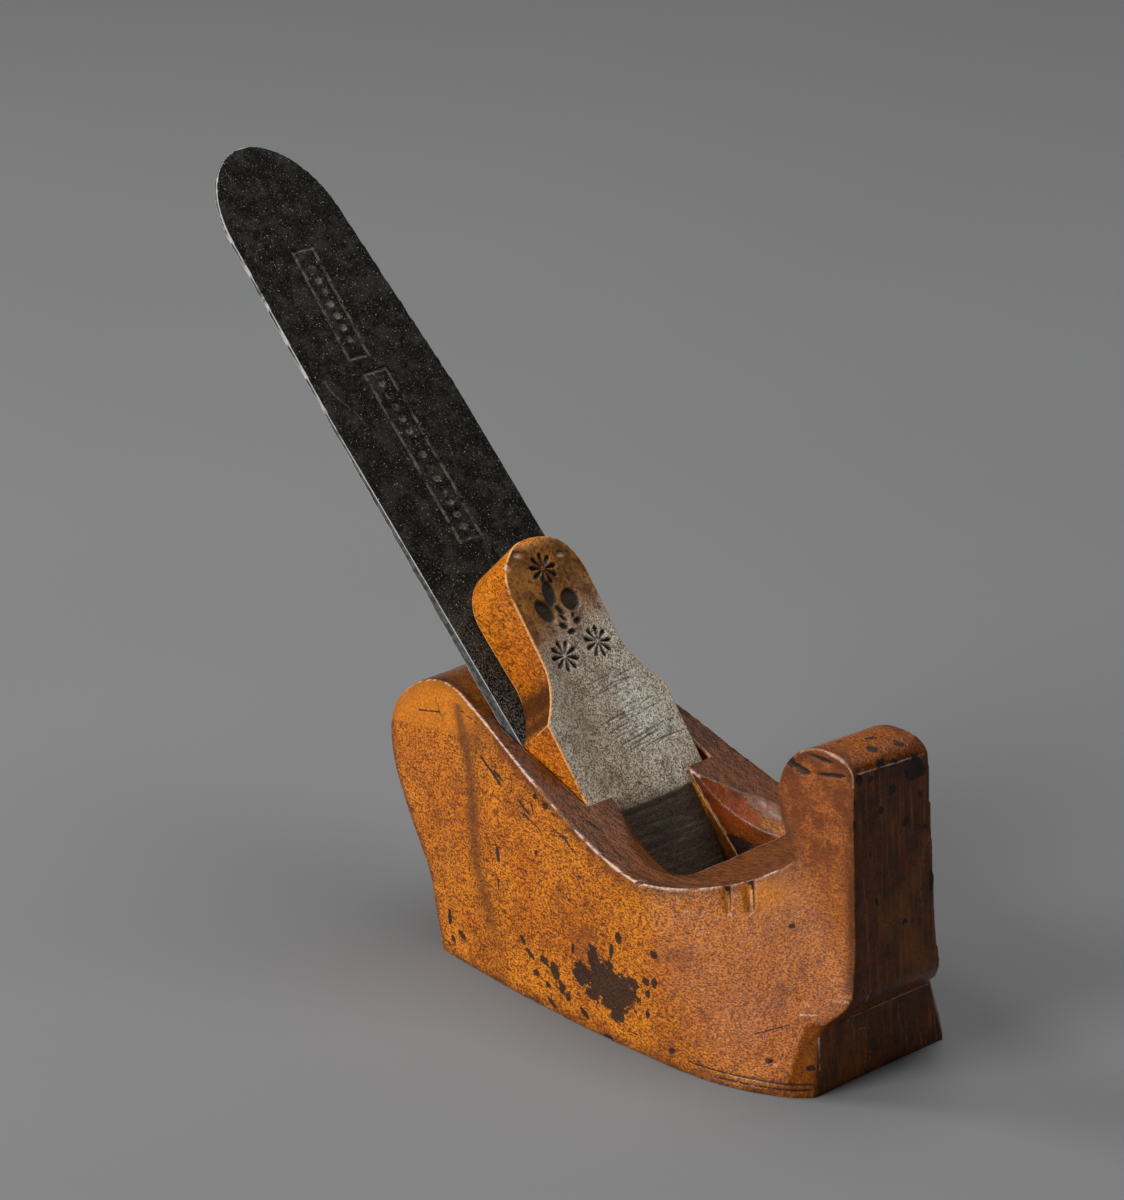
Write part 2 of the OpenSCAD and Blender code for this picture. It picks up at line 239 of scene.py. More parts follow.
# Dark marks in the varnish: ink on the near side, a few spots on the far side, spots on the front of the
# horn, soot on the far wall of the throat, and marks on what looks up.
ink = (
    (-13.2, 10.4, 6.6, 5, -25), (-9.8, 10.4, 4.6, 4.2, 0), (-17.6, 14.6, 1.8, 2.8, 12),
    (-13, 17.4, 0.7, 1.6, 0), (-20.6, 10.4, 3, 2.4, 0), (-10.6, 5.6, 2.2, 1.8, 0), (-6.6, 13, 1.6, 1.5, 0),
    (-17.4, 7.4, 2.2, 1.1, 0), (-28.2, 8.4, 1.5, 1.9, 40), (-26, 6, 1.2, 1.5, 35), (-24, 4.4, 0.8, 1, 30),
    (-31.4, 9.3, 1.6, 0.8, -20), (-35.6, 9.2, 1.8, 0.7, -30), (-38, 11.2, 1.2, 0.5, -35),
    (-33.6, 6, 1.1, 0.7, 0), (-30, 4.9, 0.9, 0.7, 0), (-28.6, 1.6, 1.8, 0.6, -28),
    (-19.4, 3, 2.2, 0.6, -30), (-12.6, 0.2, 1.4, 0.8, 0), (-23.4, 14.4, 0.5, 1.3, 0),
    (-11.2, 20.6, 1, 1.3, 10), (-1.8, 20.4, 1.3, 0.8, -30), (-1.2, 15, 0.9, 1.3, 0),
    (-2.8, 12.4, 0.8, 0.9, 0), (-2.6, 8.4, 0.6, 0.9, 0), (-56.9, 5.2, 1.4, 0.7, -20),
    (-61.2, 7.4, 0.7, 1.6, 12), (-59.6, 3.4, 1.1, 0.6, -25), (-47.2, 25.6, 0.8, 2.5, 22),
    (-46.2, 19.6, 0.35, 1.4, 8), (-33.4, 39.6, 1.1, 0.7, 20), (-27.1, 34.9, 1.6, 0.4, -35),
    (-48.1, 40.8, 2.2, 0.35, -20), (-36.2, 40.6, 0.8, 0.6, 0), (-35.4, 29.6, 0.5, 0.5, 0),
    (23.6, 6.2, 0.8, 0.5, 0), (21.9, 30.2, 0.6, 0.5, 0), (-3.4, 14.6, 1, 0.8, 0), (4, 3.4, 1.2, 0.7, 20),
    (30.2, 5.6, 0.7, 0.6, 0), (20, 59.7, 3.8, 0.9, -6), (17.6, 61, 1.6, 0.6, 0),
    (25.6, 63.2, 3.4, 0.5, 2), (28, 60.8, 5, 0.45, 14),
)
dashes = (
    (-41.5, 38.4, -37.6, 36.4, 0.3), (-40.6, 36, -34.6, 34.6, 0.24), (-37.2, 38.8, -36.4, 36.8, 0.26),
    (-53.4, 42.8, -47, 39.4, 0.3), (-31, 36.2, -24, 33.4, 0.2), (-75, 44.6, -68, 46.6, 0.18),
    (-70.4, 48.6, -66.4, 45.4, 0.16), (-61, 49.2, -55.6, 48.4, 0.16), (-30, 25.4, -22, 22.6, 0.14),
    (-20, 31.4, -12, 27.4, 0.14), (8, 2.4, 31, 2.6, 0.2), (14, 1.3, 31, 1.5, 0.2),
    (20, 10.4, 25.6, 13, 0.16),
)
far_marks = (
    (-66, 22, 1.4, 0.8, 30), (-52, 12, 0.9, 1.6, 0), (-38, 25, 1.8, 0.5, -25), (-24, 8, 1.2, 0.8, 10),
    (-30, 33, 1.6, 0.4, -30), (-6, 19, 0.8, 0.7, 0), (4, 8, 1.5, 0.5, 20), (20, 14, 0.7, 1.2, 0),
    (25, 44, 0.8, 1.1, 0), (28, 57, 1.6, 0.5, 10), (-74, 36, 1, 0.7, 0), (-58, 41, 2.2, 0.35, -10),
    (-12, 3.5, 1.6, 0.6, -15),
)
far_dashes = (
    (-60, 33, -54, 31.4, 0.22), (-44, 17, -38, 15.6, 0.2), (-20, 25, -14, 22, 0.18), (2, 24, 9, 21, 0.18),
    (8, 3, 29, 3.2, 0.2),
)
horn_stains = (
    (-2.4, 62.2, 1.2, 1, 0), (6, 59, 2.8, 2.8, 0), (-8.4, 61, 1, 1.2, 0), (-3, 53.7, 0.7, 0.9, 0),
    (10, 36.2, 0.9, 2.9, 0), (3.4, 49.3, 0.9, 0.8, 0), (-4.6, 36.2, 0.5, 1.2, 15), (2.6, 30, 0.9, 0.6, 0),
    (7.2, 53.8, 0.6, 0.7, 0), (0, 56.8, 1.1, 1.2, 0), (-9.9, 57, 0.5, 1.2, 0), (-10, 52.4, 0.5, 1.2, 0),
    (1, 61.6, 1.2, 0.7, 0), (-5.4, 60.4, 0.9, 0.6, 0), (8.6, 47, 0.7, 0.6, 0), (-6, 46, 0.6, 0.5, 0),
)
top_stains = (
    (-24, -19, 2.4, 0.5, 10), (-16, -20.5, 1.8, 0.4, 0), (30, -1.4, 1.3, 1.3, 70), (27, 1.5, 1.4, 0.7, 70),
    (31, 4.6, 1, 0.8, 0), (-40, 20, 2.2, 0.7, 20), (24, -4, 1.2, 0.4, 60),
)
soot_spots = ((-16.4, 24.4, 5.4, 4.6, -10), (-8.6, 25.6, 3, 1.6, 0))
soot = (np.abs(x + 15) < 14) * np.clip(spots(x, z, soot_spots) + 0.15, 0, 1)
inked = np.maximum.reduce((
    only(near_side, np.maximum(spots(x, z, ink), strokes(x, z, dashes))),
    only(far_side, np.maximum(spots(x, z, far_marks), strokes(x, z, far_dashes))),
    only(front > 0.3, 0.9 * spots(y, z, horn_stains)),
    only(in_throat & (y > 6), 1.3 * soot - 0.35),
    only(upward > 0.4, 0.8 * spots(x, y, top_stains)),
))

# A dark runnel comes down from a blot under the bevel of the hump, leaning and wavering as it falls.
runnel_top = 40.4
runnel_x = -58.3 + (runnel_top - z) * 0.33 + 1.0 * np.sin(z * 0.21)
runnel_half = 1.7 + 0.02 * (runnel_top - z)
streak = fade(x, runnel_x, runnel_half) * ramp(z, -4, 22) + 0.8 * fade(x, -55.4, 4.4) * fade(z, 45, 3)

# Pale scratches on the toe and the horn, a painted highlight on the horn front's top edge, and a pale patch
# on the chamfer beside the throat, part wear and part painted highlight.
front_scratches_and_highlight = (
    (-6.2, 8.4, -4.2, 9.4, 0.16), (-4.2, 9.4, -1.4, 8.4, 0.14), (-3.6, 2.6, -2.6, 5, 0.14),
    (-2.4, 2.4, -1.6, 4.8, 0.14), (-1.2, 1.8, -0.2, 3.4, 0.14), (7.4, 2, 7.8, 4.2, 0.13),
    (-15, 11, -15.4, 5, 0.3), (-9.6, 3.2, -7.8, 4.6, 0.13), (-7.4, 11.7, -7.4, 18.6, 0.26),
    # The last stroke is a painted highlight along the top edge of the horn front.
    (-7, 12.55, 14.2, 12.15, 0.2), (-8.6, 62.2, 8.8, 60.9, 0.24),
)
side_scratches = ((31.6, 18.3, 35.2, 18.6, 0.28), (27, 15, 30, 15.4, 0.24))
chamfer_wear_and_highlight = ((-14.5, 16.4, -9.4, 16, 1.5),)
pale = np.maximum.reduce((
    only(front > 0.3, strokes(y, z, front_scratches_and_highlight)),
    only(near_side & (x > 25), strokes(x, z, side_scratches)),
    only((z > 30) & (z < 36) & (upward > 0.2), 0.32 * strokes(x, y, chamfer_wear_and_highlight)),
))

saddle_rim = (z > 24) & (x < horn_back) & ((x < 8) | (z < 42))
horn_top = (z > 60) & (x > 20)
outside = np.clip(1 - front - upward, 0, 1) * ~in_throat
bevel = ramp(z - 0.22 * (x + 80), 39.8, 41) * ramp(x, -53, -59)
cove = fade(x, 16.5, 4.6) * fade(z, 35.2, 3.4)
mark(
    stock,
    ink=np.clip(inked, -1, 1),
    streak=np.where(near_side & (z < 50), np.clip(streak, 0, 1), 0),
    pale=np.clip(pale, -1, 1),
    proud=np.clip(proud, -0.5, 0.5),
    rim=np.clip(rim, -0.5, 0.5),
    near_edge=np.clip(near_edge, -4, 4),
    lit=saddle_rim + 0.45 * horn_top,
    notch=np.clip(notches * 5, 0, 1) * shaded,
    notch_wall=np.clip(notches * 5, 0, 1) * ~shaded,
    front=front,
    # The dark top colour is laid on more weakly on the horn top and the hump, which leaves them lighter: a
    # painted sheen.
    upward=upward * above_toe * np.where(z > 55, 0.5, np.where(x < -55, 0.6, 1)),
    throat=in_throat,
    handled=ramp(x, -6, 16) * np.clip(z / 16, 0.25, 1) * outside,
    grip=ramp(z, 24, 46) * ramp(x, 14, 18) * outside,
    grimy=fade(x, 34.4, 1.5) * outside * above_toe,
    bare=np.clip(bevel + cove, 0, 1) * (np.abs(facing_y) > 0.4),
)


class Finish:
    """Builds up the material of a piece, one coat after another."""

    def __init__(self, name):
        self.material = bpy.data.materials.new(name)
        self.material.use_nodes = True
        self.tree = self.material.node_tree
        self.tree.nodes.clear()
        self.shader = self.add("ShaderNodeBsdfPrincipled")
        out = self.add("ShaderNodeOutputMaterial")
        self.join(self.shader.outputs[0], out.inputs[0])
        self.place = self.add("ShaderNodeTexCoord").outputs["Object"]

    def add(self, kind, **settings):
        node = self.tree.nodes.new(kind)
        for key, value in settings.items():
            setattr(node, key, value)
        return node

    def join(self, a, b):
        self.tree.links.new(a, b)

    def feed(self, socket, value):
        """Sets a socket to a value, or joins it to another node."""
        if isinstance(value, bpy.types.NodeSocket):
            self.join(value, socket)
        else:
            socket.default_value = value

    def layer(self, name):
        """The values that mark() kept on the piece."""
        return self.add("ShaderNodeAttribute", attribute_name=name).outputs["Fac"]

    def stretch(self, scale, turn=(0, 0, 0)):
        """Places for a noise drawn out along the axes whose scale is below 1, turned by degrees."""
        node = self.add("ShaderNodeMapping")
        self.join(self.place, node.inputs[0])
        node.inputs["Rotation"].default_value = [math.radians(t) for t in turn]
        node.inputs["Scale"].default_value = scale
        return node.outputs[0]

    def noise(self, scale, detail=2, rough=0.5, at=None):
        """Random patches: the scale is about how many there are to a metre."""
        node = self.add("ShaderNodeTexNoise")
        self.join(at or self.place, node.inputs["Vector"])
        node.inputs["Scale"].default_value = scale
        node.inputs["Detail"].default_value = detail
        node.inputs["Roughness"].default_value = rough
        return node.outputs["Fac"]

    def span(self, value, lo, hi, out_lo=0.0, out_hi=1.0):
        """Eases a value from one range into another."""
        node = self.add("ShaderNodeMapRange", interpolation_type="SMOOTHSTEP")
        self.feed(node.inputs[0], value)
        for socket, v in zip(node.inputs[1:5], (lo, hi, out_lo, out_hi)):
            socket.default_value = v
        return node.outputs[0]

    def math(self, how, a, b):
        node = self.add("ShaderNodeMath", operation=how)
        self.feed(node.inputs[0], a)
        self.feed(node.inputs[1], b)
        return node.outputs[0]

    def times(self, a, b):
        return self.math("MULTIPLY", a, b)

    def mix(self, share, a, b):
        """A colour that goes from a to b."""
        node = self.add("ShaderNodeMix", data_type="RGBA")
        self.feed(node.inputs[0], share)
        for socket, v in ((node.inputs[6], a), (node.inputs[7], b)):
            self.feed(socket, v if isinstance(v, bpy.types.NodeSocket) else (*v, 1))
        return node.outputs[2]

    def coat(self, tone, colour, where, strength):
        """Lays a colour over the tone, where a mask is and so strongly."""
        return self.mix(self.times(where, strength), tone, colour)

    def bump(self, height, strength, distance, under=None):
        """Small relief, laid over other relief where that is given."""
        node = self.add("ShaderNodeBump")
        node.inputs["Strength"].default_value = strength
        node.inputs["Distance"].default_value = distance
        self.join(height, node.inputs["Height"])
        if under:
            self.join(under, node.inputs["Normal"])
        return node.outputs[0]

    def colour(self, tone):
        self.join(tone, self.shader.inputs["Base Color"])

    def rough(self, value):
        self.join(value, self.shader.inputs["Roughness"])

    def relief(self, bump):
        self.join(bump, self.shader.inputs["Normal"])

    def dress(self, piece):
        """Makes this the one material of a piece."""
        piece.data.materials.clear()
        piece.data.materials.append(self.material)


# Colours are shares of red, green and blue light.
HONEY, AMBER, RUST = (0.60, 0.185, 0.010), (0.48, 0.120, 0.005), (0.25, 0.056, 0.004)
PORE, LIT_PORE, DASH = (0.100, 0.024, 0.003), (0.85, 0.31, 0.025), (0.045, 0.014, 0.005)
CORNER_DARK, RUBBED = (0.024, 0.009, 0.004), (0.50, 0.20, 0.03)


def oiled_wood(wood, turn, pore_depth):
    """Colour of oiled fruitwood: broad drifts, darker clouds, and dense fine pores with longer dashes."""
    pores = wood.noise(3000, 2, 0.7, wood.stretch((0.6, 1, 1), turn))
    flecks = wood.noise(1700, 2, 0.65, wood.stretch((0.45, 1, 1), (0, 16, 4)))
    figure = wood.noise(480, 4, 0.7, wood.stretch((0.45, 1, 1), turn))
    tone = wood.mix(wood.span(wood.noise(42, 3, 0.55), 0.38, 0.64), HONEY, AMBER)
    tone = wood.coat(tone, RUST, wood.span(wood.noise(120, 5, 0.66), 0.48, 0.66), 0.6)
    tone = wood.coat(tone, RUST, wood.span(figure, 0.48, 0.64), 0.45)
    # LIT_PORE is painted glints: small lighter flecks among the pores.
    tone = wood.coat(tone, LIT_PORE, wood.span(pores, 0.46, 0.39), 0.4)
    tone = wood.coat(tone, PORE, wood.span(pores, 0.51, 0.57), pore_depth)
    tone = wood.coat(tone, PORE, wood.span(flecks, 0.57, 0.63), 0.65)
    level = wood.noise(1250, 2, 0.6, wood.stretch((0.16, 1, 1), (0, 24, 10)))
    upright = wood.noise(1250, 2, 0.6, wood.stretch((1, 1, 0.2), (0, 20, 0)))
    dash = wood.math("MAXIMUM", wood.span(level, 0.655, 0.7), wood.span(upright, 0.675, 0.71))
    dash = wood.math("MAXIMUM", dash, wood.span(wood.noise(800, 2, 0.5), 0.70, 0.73))
    return wood.coat(tone, DASH, dash, 0.8), pores


def worn(wood, tone, corner_darkening, rub, line):
    """Darker in the corners, edges rubbed paler, and a thin pale line along an edge: rubbing and painted
    highlight.
    """
    proud = wood.layer("proud")
    # Darker in corners and hollows, where a point lies below the smoothed surface.
    tone = wood.coat(tone, CORNER_DARK, wood.span(proud, -0.03, -0.2), corner_darkening)
    tone = wood.coat(tone, RUBBED, wood.span(proud, 0.06, 0.24), rub)
    # The thin line along the edge is a painted highlight; on the stock it also stands for rubbed wood.
    broken = wood.span(wood.noise(110, 4, 0.65), 0.4, 0.5)
    return tone, wood.times(wood.span(wood.layer("rim"), *line), broken)


def varnish(wood, pores, dulled):
    """Old varnish: glossy on the flats, with pores and small dents that break it up."""
    gloss = wood.span(wood.noise(260, 3, 0.6), 0.3, 0.75, 0.22, 0.4)
    wood.rough(wood.math("ADD", gloss, dulled))
    wood.shader.inputs["Specular IOR Level"].default_value = 0.2
    wood.shader.inputs["Coat Weight"].default_value = 0.14
    wood.shader.inputs["Coat Roughness"].default_value = 0.14
    pitted = wood.bump(pores, 0.6, 0.0002)
    wood.relief(wood.bump(wood.noise(600, 4, 0.65), 0.4, 0.0006, pitted))


HANDLED, HANDLED_PORE = (0.40, 0.125, 0.042), (0.10, 0.030, 0.010)
GRIPPED, FRONT_BAND_DARK = (0.12, 0.028, 0.008), (0.06, 0.022, 0.01)
MARGIN_DARK, BLOT, BARE = (0.085, 0.022, 0.005), (0.14, 0.036, 0.010), (0.60, 0.19, 0.006)
RUNNEL, INK, SCRATCH_AND_HIGHLIGHT = (0.085, 0.028, 0.008), (0.018, 0.009, 0.007), (0.62, 0.50, 0.42)
TOP_SHADE, TOP_GRAIN = (0.13, 0.034, 0.008), (0.030, 0.009, 0.003)
FRONT_SHADE, FRONT_DARK, FRONT_AMBER = (0.13, 0.026, 0.002), (0.035, 0.009, 0.002), (0.30, 0.085, 0.006)
FRONT_STREAK, FRONT_PORE = (0.34, 0.105, 0.008), (0.012, 0.005, 0.002)
THROAT, THROAT_DARK = (0.20, 0.032, 0.004), (0.075, 0.014, 0.003)
RUBBED_EDGE_HIGHLIGHT, NOTCH_LIT_WALL, NOTCH_SHADE = (0.78, 0.56, 0.44), (0.62, 0.22, 0.03), (0.02, 0.012, 0.010)

oiled = Finish("oiled_fruitwood")
with_grain = (0, 3, 6)
tone, pores = oiled_wood(oiled, with_grain, 0.85)
tone = oiled.coat(tone, HANDLED, oiled.layer("handled"), 0.45)
patchy = oiled.span(oiled.noise(190, 5, 0.7), 0.36, 0.6, 0.25, 0.85)
tone = oiled.coat(tone, GRIPPED, oiled.layer("grip"), patchy)
# A darker narrow band on the sides at x 34.4 mm, above the toe.
tone = oiled.coat(tone, FRONT_BAND_DARK, oiled.layer("grimy"), 0.6)
tone = oiled.coat(tone, HANDLED_PORE, oiled.times(oiled.span(pores, 0.5, 0.6), oiled.layer("handled")), 0.5)
# Darker, in clouds, towards the outer margins of each face, where a point stands proud of the much-smoothed
# surface.
cloudy = oiled.span(oiled.noise(170, 4, 0.65), 0.32, 0.6, 0.3, 1.0)
tone = oiled.coat(tone, MARGIN_DARK, oiled.times(oiled.span(oiled.layer("near_edge"), 0.06, 0.75), cloudy), 0.85)
tone = oiled.coat(tone, BLOT, oiled.span(oiled.noise(75, 5, 0.68), 0.56, 0.66), 0.5)
tone = oiled.coat(tone, BARE, oiled.layer("bare"), 0.45)
tone = oiled.coat(tone, RUNNEL, oiled.layer("streak"), 0.74)
tone, highlight_line = worn(oiled, tone, 0.8, 0.15, (0.03, 0.075))

# What looks up gets a darker brown: painted shade on the tops, which the low lamps light less.
top_grain = oiled.noise(1500, 3, 0.6, oiled.stretch((0.12, 1, 1), with_grain))
top = oiled.mix(oiled.span(top_grain, 0.43, 0.58), TOP_SHADE, TOP_GRAIN)
tone = oiled.coat(tone, top, oiled.layer("upward"), 0.88)

# The front faces look away from the lamps and get a much darker colour: painted shade, with real patches,
# streaks and pores laid over it.
shaded_front = oiled.mix(oiled.span(oiled.noise(200, 4, 0.65), 0.4, 0.64), FRONT_SHADE, FRONT_DARK)
amber_patch = oiled.span(oiled.noise(90, 4, 0.6, oiled.stretch((1, 1, 0.6))), 0.5, 0.64)
shaded_front = oiled.coat(shaded_front, FRONT_AMBER, amber_patch, 0.6)
down_strokes = oiled.noise(1100, 3, 0.62, oiled.stretch((1, 1, 0.05)))
shaded_front = oiled.coat(shaded_front, FRONT_STREAK, oiled.span(down_strokes, 0.52, 0.64), 0.6)
shaded_front = oiled.coat(shaded_front, FRONT_PORE, oiled.span(oiled.noise(1500, 3, 0.7), 0.55, 0.64), 0.75)
tone = oiled.coat(tone, shaded_front, oiled.layer("front"), 0.88)

inner = oiled.mix(oiled.span(oiled.noise(160, 4, 0.6), 0.4, 0.65), THROAT, THROAT_DARK)
tone = oiled.coat(tone, inner, oiled.layer("throat"), 0.8)
# Pale line on the saddle rims and the horn top: rubbed edges with a painted highlight, kept to where the
# lit layer is.
tone = oiled.coat(tone, RUBBED_EDGE_HIGHLIGHT, oiled.times(highlight_line, oiled.layer("lit")), 0.75)
ragged = oiled.math("SUBTRACT", oiled.noise(800, 5, 0.7, oiled.stretch((0.7, 1, 1), (0, 30, 0))), 0.5)
stained = oiled.span(oiled.math("ADD", oiled.layer("ink"), oiled.times(ragged, 1.9)), 0.06, 0.16)
tone = oiled.coat(tone, INK, stained, 0.93)
# The knife notches get painted light and shade: one wall painted lit, the other painted in shade.
tone = oiled.coat(tone, NOTCH_LIT_WALL, oiled.layer("notch_wall"), 0.8)
tone = oiled.mix(oiled.layer("notch"), tone, NOTCH_SHADE)
broken = oiled.span(oiled.noise(500, 3, 0.7), 0.36, 0.55)
tone = oiled.coat(tone, SCRATCH_AND_HIGHLIGHT, oiled.times(oiled.span(oiled.layer("pale"), 0.1, 0.6), broken), 0.8)
oiled.colour(tone)
varnish(oiled, pores, oiled.times(stained, 0.14))
oiled.dress(stock)
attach(stock, "stock")
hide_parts("stock")

# The iron: a long blade forged from one bar, drawn thin toward its round top and left black from the
# fire, with the pits and scale of old iron. Its long edges are filed brighter, and two plain borders
# of punches are stamped one above the other down its middle.
iron = fine_copy("forged_iron", "iron", 0.27, 3)
points, normals = read_points(iron)
up = (points[:, 2] - points[:, 0]) / math.sqrt(2)
side = points[:, 1]
on_face = ramp((normals[:, 0] + normals[:, 2]) / math.sqrt(2), 0.8, 0.925)


def stamped_border(up, side, centre, length, width, turn):
    """Depth of a plain stamped border with a row of round punches inside it."""
    line_half, pitch, end_gap, punch_radius, punch_wall = 0.42, 2.7, 2.4, 0.95, 0.4
    c, s = math.cos(math.radians(turn)), math.sin(math.radians(turn))
    u = (up - centre[0]) * c + (side - centre[1]) * s
    v = -(up - centre[0]) * s + (side - centre[1]) * c
    away = np.maximum(np.abs(u) - length / 2, np.abs(v) - width / 2)
    groove = np.clip(1 - np.abs(away) / line_half, 0, 1)
    last = int((length / 2 - end_gap) / pitch)
    nearest = np.clip(np.round(u / pitch), -last, last) * pitch
    punch = np.clip((punch_radius - np.hypot(u - nearest, v)) / punch_wall, 0, 1)
    return -0.4 * groove - 0.3 * punch - 0.06 * (away < 0)


stamp = stamped_border(up, side, (160.9, -1.0), 24.5, 5, 3.5)
stamp += stamped_border(up, side, (126, -0.3), 38, 5.6, 1)
score_lines = (
    (146.3, -12.6, 142.6, -11.9, 0.3), (142.6, -11.9, 138, -9.4, 0.26), (138, -9.4, 134.6, -9, 0.26),
)
scored = np.clip(strokes(up, side, score_lines), 0, 1)
rusted = 0.05 * unevenness(points, 3, 11) + 0.04 * unevenness(points, 1.1, 12)
rusted -= 0.28 * np.clip(unevenness(points, 1.7, 13) - 0.42, 0, 1)
face_gap = 0.03  # the face is drawn in by this much, so that the wedge slides over it freely
depth = np.where(on_face > 0, np.minimum(rusted, 0) - face_gap, rusted) + on_face * (stamp - 0.2 * scored)
write_points(iron, points + normals * depth[:, None])
mark(
    iron,
    rim=np.clip(edge_wear(iron, points, normals, 3), -0.5, 0.5),
    edge=ramp(np.abs(normals[:, 1]), 0.3, 0.8),
    worn_low=ramp(up, 100, 65) * on_face,
    rubbed=np.clip(on_face * (np.abs(stamp) > 0.16) + on_face * scored, 0, 1),
)

BLACK, SCALE = (0.003, 0.0028, 0.0024), (0.024, 0.022, 0.018)
SPECKLE, DUST = (0.085, 0.078, 0.062), (0.50, 0.48, 0.43)
SANDED, RUST_SPOT, RUBBED_STAMP = (0.25, 0.245, 0.205), (0.07, 0.035, 0.02), (0.22, 0.195, 0.16)
FILED_DARK, FILED, BRIGHT_EDGE = (0.035, 0.035, 0.035), (0.105, 0.105, 0.103), (0.5, 0.5, 0.49)

forged = Finish("forged_iron")
blotch = forged.noise(240, 5, 0.68)
speckle = forged.noise(2700, 3, 0.72)
tone = forged.mix(forged.span(blotch, 0.44, 0.62), BLACK, SCALE)
tone = forged.coat(tone, SPECKLE, forged.span(speckle, 0.56, 0.62), 0.75)
tone = forged.coat(tone, DUST, forged.span(forged.noise(2500, 2, 0.6), 0.675, 0.71), 0.8)
sanded = forged.times(forged.span(forged.noise(2800, 2, 0.6), 0.5, 0.58), forged.layer("worn_low"))
tone = forged.coat(tone, SANDED, sanded, 0.85)
tone = forged.coat(tone, RUST_SPOT, forged.span(forged.noise(420, 3, 0.6), 0.66, 0.74), 0.5)
rubbed = forged.times(forged.layer("rubbed"), forged.span(forged.noise(500, 3, 0.7), 0.35, 0.6))
tone = forged.coat(tone, RUBBED_STAMP, rubbed, 0.75)
filed = forged.mix(forged.span(forged.noise(900, 3, 0.6), 0.35, 0.65), FILED_DARK, FILED)
tone = forged.mix(forged.layer("edge"), tone, filed)
broken = forged.span(forged.noise(160, 4, 0.65), 0.3, 0.46)
bright_line = forged.times(forged.span(forged.layer("rim"), 0.026, 0.05), broken)
tone = forged.coat(tone, BRIGHT_EDGE, bright_line, 0.85)
forged.colour(tone)
forged.shader.inputs["Metallic"].default_value = 0.2
forged.shader.inputs["Specular IOR Level"].default_value = 0.12
forged.rough(forged.span(blotch, 0.3, 0.75, 0.72, 0.5))
hammered = forged.bump(forged.noise(800, 4, 0.65), 0.5, 0.0004)
forged.relief(forged.bump(speckle, 0.5, 0.0002, hammered))
forged.dress(iron)
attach(iron, "iron")
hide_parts("iron")

# The steel bit: a thin plate of hard steel, forge-welded to the face of the iron at its lower end
# and ground to the cutting edge. It shows as a slightly brighter tongue below a faint weld line.
bit = fine_copy("welded_bit", "iron_bit", 0.25, 2)
points, normals = read_points(bit)
mark(bit, proud=np.clip(edge_wear(bit, points, normals, 6), -0.5, 0.5))

STEEL_DARK, STEEL, GROUND_EDGE = (0.05, 0.047, 0.042), (0.13, 0.125, 0.115), (0.4, 0.39, 0.37)
steel = Finish("ground_steel")
grinding = steel.noise(900, 3, 0.6, steel.stretch((1, 0.05, 1)))
tone = steel.mix(steel.span(steel.noise(300, 5, 0.65), 0.4, 0.7), STEEL_DARK, STEEL)
steel.colour(steel.mix(steel.span(steel.layer("proud"), 0.04, 0.15), tone, GROUND_EDGE))
steel.shader.inputs["Metallic"].default_value = 0.85
steel.rough(steel.span(grinding, 0.3, 0.7, 0.5, 0.32))
steel.relief(steel.bump(grinding, 0.25, 0.0001))
steel.dress(bit)
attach(bit, "iron")
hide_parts("iron_bit")

# The wedge: a tapered tongue of the same wood with a rounded head, waisted shoulders and two legs
# that bear under the abutments. Its face has weathered grey, and punched flowers and a cut sprig
# decorate it.
wedge = fine_copy("forked_wedge", "wedge", 0.2, 3)
points, normals = read_points(wedge)
face_slope, foot_x = 52.4, 1.4  # degrees that the face rises at, and where its line meets the sole
run, rise = math.cos(math.radians(face_slope)), math.sin(math.radians(face_slope))
along = (points[:, 0] - foot_x) * -run + points[:, 2] * rise
across = points[:, 1]
from_face = points[:, 0] * rise + points[:, 2] * run - foot_x * rise
facing = normals[:, 0] * rise + normals[:, 2] * run
face = ramp(facing, 0.85, 0.95)


def punched_flower(along, across, centre, turn):
    """Depth of one punched flower: V cuts that widen outward from a small plain eye and end round."""
    petals, reach, eye, round_end, wall = 9, 3.3, 0.45, 0.6, 0.3
    u, v = along - centre[0], across - centre[1]
    r = np.hypot(u, v)
    step = 2 * math.pi / petals
    a = (np.arctan2(v, u) + turn) % step - step / 2
    out, off = r * np.cos(a), np.abs(r * np.sin(a))
    half = 0.08 + 0.18 * np.clip(out, 0, reach - round_end)
    half = half * np.sqrt(np.clip((reach - out) / round_end, 0, 1))
    return np.clip((half - off) / wall, 0, 1) * (out > eye)


def leaf(along, across, centre, length, width, turn):
    """Depth of one leaf-shaped cut with steep walls and a flat bottom."""
    c, s = math.cos(math.radians(turn)), math.sin(math.radians(turn))
    u = ((along - centre[0]) * c + (across - centre[1]) * s) / length
    v = (-(along - centre[0]) * s + (across - centre[1]) * c) / width
    return np.clip((1 - np.hypot(u, v)) * 2.4 * min(length, width), 0, 1)


flowers = (((94.1, -0.3), 0.2), ((77.1, -4.8), 0.45), ((77.5, 4.1), 0.05))
sprig = (
    ((89.2, -1.6), 2.9, 1.6, 12), ((85.6, -1.0), 1.6, 0.8, -22), ((86.3, -4.5), 2.8, 1.8, -25),
    ((86.9, 2.5), 2.4, 2.3, 20), ((84.1, -1.1), 1.4, 0.6, -30), ((82.6, 1.8), 0.8, 1.2, 0),
    ((82.5, -1.8), 0.8, 1.3, 30), ((81, -0.6), 0.7, 1.3, 0), ((83.8, 1.4), 0.9, 0.5, 30),
)
cut = np.maximum.reduce(
    [punched_flower(along, across, *flower) for flower in flowers]
    + [0.9 * leaf(along, across, *cut_leaf) for cut_leaf in sprig]
)

